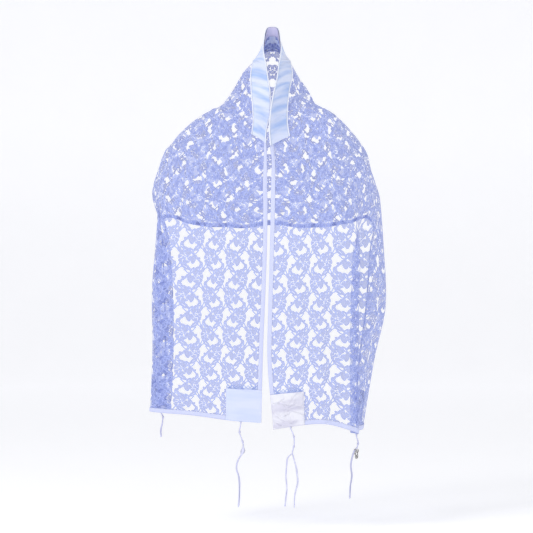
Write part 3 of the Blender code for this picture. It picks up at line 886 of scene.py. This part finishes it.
def stitches(name, runs, out):
    """Short raised stitches along runs of cloth, each straight along or straight across."""
    parts, places = [], []
    for (a0, b0), (a1, b1) in runs:
        count = int(math.dist((a0, b0), (a1, b1)) / STITCH_EVERY)
        share = ((np.arange(count)[:, None] + STITCH_ENDS) / count).ravel()
        along, across = a0 + (a1 - a0) * share, b0 + (b1 - b0) * share
        if b0 == b1:
            grid = cloth_grid(along, np.array([b0]), np.full((len(along), 1), out))
            centres, normals = grid[0][:, 0], grid[1][:, 0]
        else:
            grid = cloth_grid(np.array([a0]), across, np.full((1, len(across)), out))
            centres, normals = grid[0][0], grid[1][0]
        ahead = np.gradient(centres.reshape(-1, 3, 3), axis=1).reshape(-1, 3)
        ahead /= np.linalg.norm(ahead, axis=1, keepdims=True)
        aside = np.cross(ahead, normals)
        sizes = np.tile(STITCH_RADII, count)[:, None] * MM
        ring = [centres + sizes * side for side in (aside, normals, -aside, -normals)]
        quads = tube_quads(np.arange(count * 12).reshape(count, 3, 4))
        parts.append((np.stack(ring, axis=1).reshape(-1, 3), quads))
        places.append(np.repeat(np.stack([along, across], axis=1), 4, axis=0))
    corners, faces = joined(parts)
    made = mesh_object(name, corners, faces, PIPING_LOOK, np.concatenate(places))


# Size of the lace's mesh cells on the fronts and the back
FULL_GRAIN = (1.68, 1.9)


def build_lace():
    fine, coarse = FULL_GRAIN
    lace_panel("lace_front_left", "front_left_panel", 0, PANEL_END, fine)
    lace_panel("lace_back", "back_panel", PANEL_END, LENGTH - PANEL_END, coarse)
    lace_panel("lace_front_right", "front_right_panel", LENGTH - PANEL_END, LENGTH, fine)


def build_neck():
    along = steps(*NECK_REACH, 1.5)
    across = steps(PIPING + SATIN_GAP, NECKBAND - PIPING - SATIN_GAP, 1.5)
    surface("neckband_satin", "neckband", along, across, BAND_OUT + crinkles(along, across),
            TRIM_THICK, SATIN_LOOK)
    piping("piping_upper_cord", "piping_upper", 0, PIPING)
    piping("piping_lower_cord", "piping_lower", NECKBAND - PIPING, NECKBAND)
    along, across = steps(HALF - FACING_REACH, HALF + FACING_REACH, 1.5), steps(0, FACING, 1.5)
    ripple = 0.25 * np.sin(along / 5)[:, None] * np.sin(across / 7)[None, :]
    surface("neck_facing_satin", "neck_facing", along, across, ripple + FACING_OUT, TRIM_THICK,
            FACING_LOOK)


def build_hems():
    middle = (CORNER, WIDTH - CORNER)
    front = (CORNER, NECKBAND_END)
    tape("bottom_tape_left", "bottom_hem_left", (0, BOTTOM_HEM), middle, "along")
    tape("bottom_tape_right", "bottom_hem_right", (LENGTH - BOTTOM_HEM, LENGTH), middle, "along")
    tape("front_tape_left", "front_edge_hem_left", front, (0, HEM), "across")
    far_front = (LENGTH - NECKBAND_END, LENGTH - CORNER)
    tape("front_tape_right", "front_edge_hem_right", far_front, (0, HEM), "across")
    tape("outer_tape", "outer_hem", (CORNER, LENGTH - CORNER), (WIDTH - HEM, WIDTH), "across")


def build_corners():
    for name, along_low, across_low, crumpled in (
        ("corner_front_left", 0, 0, False), ("corner_outer_left", 0, WIDTH - CORNER, False),
        ("corner_front_right", LENGTH - CORNER, 0, True),
        ("corner_outer_right", LENGTH - CORNER, WIDTH - CORNER, False),
    ):
        corner_square(name + "_satin", name, along_low, across_low, crumpled)
    edging("corner_edging_left", False)
    edging("corner_edging_right", True)


def build_stitching():
    runs = []
    for along_low in (0, LENGTH - CORNER):
        for across_low in (0, WIDTH - CORNER):
            low, high = along_low + CORNER_SEAM, along_low + CORNER - CORNER_SEAM
            near, far = across_low + CORNER_SEAM, across_low + CORNER - CORNER_SEAM
            runs += [((low, near), (high, near)), ((high, near), (high, far)),
                     ((high, far), (low, far)), ((low, far), (low, near))]
    stitches("corner_stitches", runs, BAND_OUT + 0.5)
    hem_line, bottom_line = HEM - STITCH_INSET, BOTTOM_HEM - STITCH_INSET
    runs = [((CORNER, hem_line), (NECKBAND_END, hem_line)),
            ((LENGTH - NECKBAND_END, hem_line), (LENGTH - CORNER, hem_line)),
            ((bottom_line, CORNER), (bottom_line, WIDTH - CORNER)),
            ((LENGTH - bottom_line, CORNER), (LENGTH - bottom_line, WIDTH - CORNER))]
    ends = steps(CORNER, LENGTH - CORNER, RUN_LENGTH)
    runs += [((a, WIDTH - hem_line), (b, WIDTH - hem_line)) for a, b in zip(ends, ends[1:])]
    stitches("hem_stitches", runs, TAPE_OUT + 0.8)


def sweep(points, radii, sides):
    """A tube along a line of points: its corners and its quads."""
    ahead = np.gradient(points, axis=0)
    ahead /= np.linalg.norm(ahead, axis=1, keepdims=True)
    right = np.cross(ahead, (0.12, 1.0, 0.05))
    right /= np.linalg.norm(right, axis=1, keepdims=True)
    back = np.cross(ahead, right)
    turns = 2 * np.pi * np.arange(sides) / sides
    ring = right[:, None] * np.cos(turns)[:, None] + back[:, None] * np.sin(turns)[:, None]
    corners = points[:, None] + ring * np.asarray(radii).reshape(-1, 1, 1)
    index = np.arange(len(points) * sides).reshape(len(points), sides)
    return corners.reshape(-1, 3), tube_quads(index)


def joined(parts):
    """Several sets of corners and faces as one."""
    corners, faces, count = [], [], 0
    for part_corners, part_faces in parts:
        corners.append(part_corners)
        faces.append(part_faces + count)
        count += len(part_corners)
    return np.concatenate(corners), np.concatenate(faces)


def route_of(rows, root, step):
    """Evenly spaced points of a smooth curve through (sideways, height) rows below a root."""
    rows = np.array([(root[0] + x * MM, root[1], root[2] + z * MM) for x, z in rows])
    knots = np.concatenate([[0], np.cumsum(np.linalg.norm(np.diff(rows, axis=0), axis=1))])
    return smooth(knots, rows, np.linspace(0, knots[-1], max(int(knots[-1] / (step * MM)), 4)))


STRANDS = 8
CORE_RADIUS = 1.3
KNOT_EVERY = 25
KNOT_REACH = 2.6
KNOT_SWELL = 1.5
WRAP_RADIUS = 0.75
WRAP_PITCH = 1.9
WRAP_TURN_POINTS = 10
PLY_RADIUS = 0.5
PLY_OFFSET = 0.4
PLY_PITCH = 5.0
PLY_STEP = 0.9
BUNDLE = 2.1
END_KNOT_RADII = (0.3, 1.1, 1.4, 1.3, 0.9, 0.2)
END_KNOT_REACH = (0.8, -2.2)


def winding(core):
    """Thread wound round the core, piled up at the double knots."""
    lengths = np.concatenate([[0], np.cumsum(np.linalg.norm(np.diff(core, axis=0), axis=1))]) / MM
    count = int(lengths[-1] / WRAP_PITCH * WRAP_TURN_POINTS)
    at = np.linspace(0, lengths[-1], count)
    points = np.stack([np.interp(at, lengths, core[:, k]) for k in range(3)], axis=1)
    turn = at / WRAP_PITCH * 2 * np.pi
    from_knot = (at + KNOT_EVERY / 2) % KNOT_EVERY - KNOT_EVERY / 2
    knot = np.exp(-(from_knot / KNOT_REACH) ** 2)
    reach = (CORE_RADIUS + KNOT_SWELL * knot) * MM
    ring = np.stack([np.cos(turn), np.sin(turn), 0.35 * np.sin(turn * 0.5) * knot], axis=1)
    return sweep(points + ring * reach[:, None], WRAP_RADIUS * MM * (1 + 0.3 * knot), 5)


def twisted_strand(route, number, wander):
    """Two plies twisted round each other, in their own place in the bundle, with a knotted end."""
    count = len(route)
    share = np.linspace(0, 1, count)
    turn = 2 * np.pi * (number / STRANDS + 0.5 * share) + wander
    reach = (BUNDLE * (0.75 + 0.5 * np.sin(5 * share + number))) * MM
    centre = route + np.stack([reach * np.cos(turn), reach * np.sin(turn), 0 * share], axis=1)
    parts = []
    twist = share * count * PLY_STEP / PLY_PITCH * 2 * np.pi
    for half in (0, np.pi):
        offset = np.stack([np.cos(twist + half), np.sin(twist + half), 0 * share], axis=1)
        ply = centre + offset * PLY_OFFSET * MM
        parts.append(sweep(ply, np.full(count, PLY_RADIUS * MM), 5))
    drops = np.linspace(*END_KNOT_REACH, len(END_KNOT_RADII)) * MM
    ball = centre[-1] + np.stack([0 * drops, 0 * drops, drops], axis=1)
    parts.append(sweep(ball, np.array(END_KNOT_RADII) * MM, 7))
    return parts


RIBBON_REACH = (0, 33)
RIBBON_HALF = (0.6, 5.0)
RIBBON_SHIFT = (1.0, -3.8)
RIBBON_THICK = 0.35


def ribbon(route):
    """A strand of the front left tassel that has come untwisted into a flat ribbon."""
    low, high = RIBBON_REACH
    part = route[int(low / PLY_STEP):int(high / PLY_STEP)]
    share = np.linspace(0, 1, len(part))
    half = (RIBBON_HALF[0] + RIBBON_HALF[1] * np.sin(np.pi * share) ** 2) * MM
    turn = 0.8 * (share - 0.5)
    side = np.stack([np.cos(turn), np.sin(turn), 0 * share], axis=1)
    sideways = RIBBON_SHIFT[0] * np.sin(np.pi * share)
    centre = part + np.stack([sideways, RIBBON_SHIFT[1] + 0 * share, 0 * share], axis=1) * MM
    depth = np.cross(side, (0, 0, 1.0)) * RIBBON_THICK * MM
    reach = side * half[:, None]
    ring = [centre + reach, centre + depth, centre - reach, centre - depth]
    quads = tube_quads(np.arange(len(part) * 4).reshape(-1, 4))
    return np.stack(ring, axis=1).reshape(-1, 3), quads


TANGLE = (6.0, 3.5, 10.5)
TANGLE_PLACE = (-2.5, 0, -18)
TANGLE_RADIUS = 0.75


def build_tangle(middle):
    """The dark snarl of thread caught in the outer right tassel."""
    turns = np.linspace(0, 2 * np.pi, 260)
    wide, deep, tall = TANGLE
    points = np.stack([
        wide * np.sin(5 * turns + 0.4) * (0.7 + 0.3 * np.cos(3 * turns)),
        deep * np.cos(7 * turns),
        tall * np.sin(3 * turns + 1.2) + 2.0 * np.cos(11 * turns),
    ], axis=1) * MM
    place = np.array(middle) + np.array(TANGLE_PLACE) * MM
    corners, faces = sweep(points + place, np.full(len(points), TANGLE_RADIUS * MM), 5)
    made = mesh_object("tassel_snarl", corners, faces, SNARL_LOOK)


def build_tassels():
    for place, spec in TASSELS.items():
        edge = cloth_grid([spec.along], [spec.across], ROOT_OFFSET)[0][0, 0]
        root = edge - np.array((0, 0, ROOT_GAP * MM))
        head = route_of(spec.head, root, 1.0)
        parts = [sweep(head, np.full(len(head), CORE_RADIUS * MM), 8), winding(head)]
        for number in range(STRANDS):
            rows = spec.bundles[number % len(spec.bundles)]
            length = 1 - 0.05 * math.sin(2.3 * number + 1) ** 2
            route = route_of(rows, root, PLY_STEP)
            route = route[:int(len(route) * length)]
            parts += twisted_strand(route, number, 0.4 * math.sin(number * 1.7))
        if place == "front_left":
            parts.append(ribbon(route_of(spec.bundles[0], root, PLY_STEP)))
        if place == "outer_right":
            build_tangle(route_of(spec.bundles[0], root, PLY_STEP)[0])
        corners, faces = joined(parts)
        made = mesh_object(f"tassel_{place}", corners, faces, CORD_LOOK)
        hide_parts(f"tzitzit_{place}")


# The photograph's frame: 533 pixels, 2.5 mm each at the shawl, with the nape at this pixel
PIXEL = 0.0025
FRAME_PIXELS = 533
NAPE_PIXEL = (272.6, 27.0)
CAMERA_DISTANCE = 5.0
SENSOR = 36.0


def build_camera():
    camera = bpy.data.objects.new("camera", bpy.data.cameras.new("camera"))
    bpy.context.scene.collection.objects.link(camera)
    middle = FRAME_PIXELS / 2
    x = (middle - NAPE_PIXEL[0]) * PIXEL
    z = (NAPE_PIXEL[1] - middle) * PIXEL
    camera.location = (x, -CAMERA_DISTANCE, z)
    camera.rotation_euler = (math.radians(90), 0, 0)
    camera.data.sensor_width = SENSOR
    camera.data.lens = SENSOR * CAMERA_DISTANCE / (FRAME_PIXELS * PIXEL)
    bpy.context.scene.camera = camera


FLOOR_Z = -1.26
PAPER_SHADE = (0.92, 0.92, 0.94)
PAPER = (0.95, 0.95, 0.965)
PAPER_GLOW = 0.22
SKY = (0.96, 0.97, 1.0)
SKY_STRENGTH = 0.66


def build_stage():
    """A pale floor that sweeps up into a wall."""
    depth, bend, height, half = 6.0, 1.5, 7.0, 9.0
    profile = [(-half, 0.0), (depth, 0.0)]
    for i in range(1, 13):
        turn = math.pi / 2 * i / 12
        profile.append((depth + bend * math.sin(turn), bend * (1 - math.cos(turn))))
    profile.append((depth + bend, height))
    points = [(x, y, FLOOR_Z + z) for y, z in profile for x in (-half, half)]
    faces = [(2 * i, 2 * i + 1, 2 * i + 3, 2 * i + 2) for i in range(len(profile) - 1)]
    mesh = bpy.data.meshes.new("floor")
    mesh.from_pydata(points, [], faces)
    mesh.shade_smooth()
    floor = bpy.data.objects.new("floor", mesh)
    bpy.context.scene.collection.objects.link(floor)
    made, tree, shader = shader_of("floor_paper")
    coordinates = tree.nodes.new("ShaderNodeTexCoord").outputs["Object"]
    grain = noise(tree, coordinates, 4, 2)
    tree.links.new(ramp(tree, grain, PAPER_SHADE, PAPER), shader.inputs["Base Color"])
    shader.inputs["Roughness"].default_value = 0.95
    shader.inputs["Emission Color"].default_value = (1, 1, 1, 1)
    shader.inputs["Emission Strength"].default_value = PAPER_GLOW
    mesh.materials.append(made)


def area_light(name, place, aim, size, power, colour):
    """A square soft light that faces a point."""
    light = bpy.data.objects.new(name, bpy.data.lights.new(name, "AREA"))
    light.data.size = size
    light.data.energy = power
    light.data.color = colour
    light.location = place
    light.rotation_euler = (Vector(aim) - Vector(place)).to_track_quat("-Z", "Y").to_euler()
    bpy.context.scene.collection.objects.link(light)


def build_light():
    world = bpy.data.worlds.new("studio")
    bpy.context.scene.world = world
    world.use_nodes = True
    background = world.node_tree.nodes["Background"]
    background.inputs[0].default_value = (*SKY, 1)
    background.inputs[1].default_value = SKY_STRENGTH
    middle = (0, 0, -0.5)
    area_light("key", (-2.2, -2.4, 1.6), middle, 1.0, 54, (1, 0.99, 0.98))
    area_light("fill", (2.6, -2.2, -0.2), middle, 2.0, 20, (0.95, 0.97, 1))
    bpy.context.scene.view_settings.view_transform = "Standard"


def main():
    build_lace()
    build_neck()
    build_hems()
    build_corners()
    build_stitching()
    build_tassels()
    build_camera()
    build_stage()
    build_light()


main()
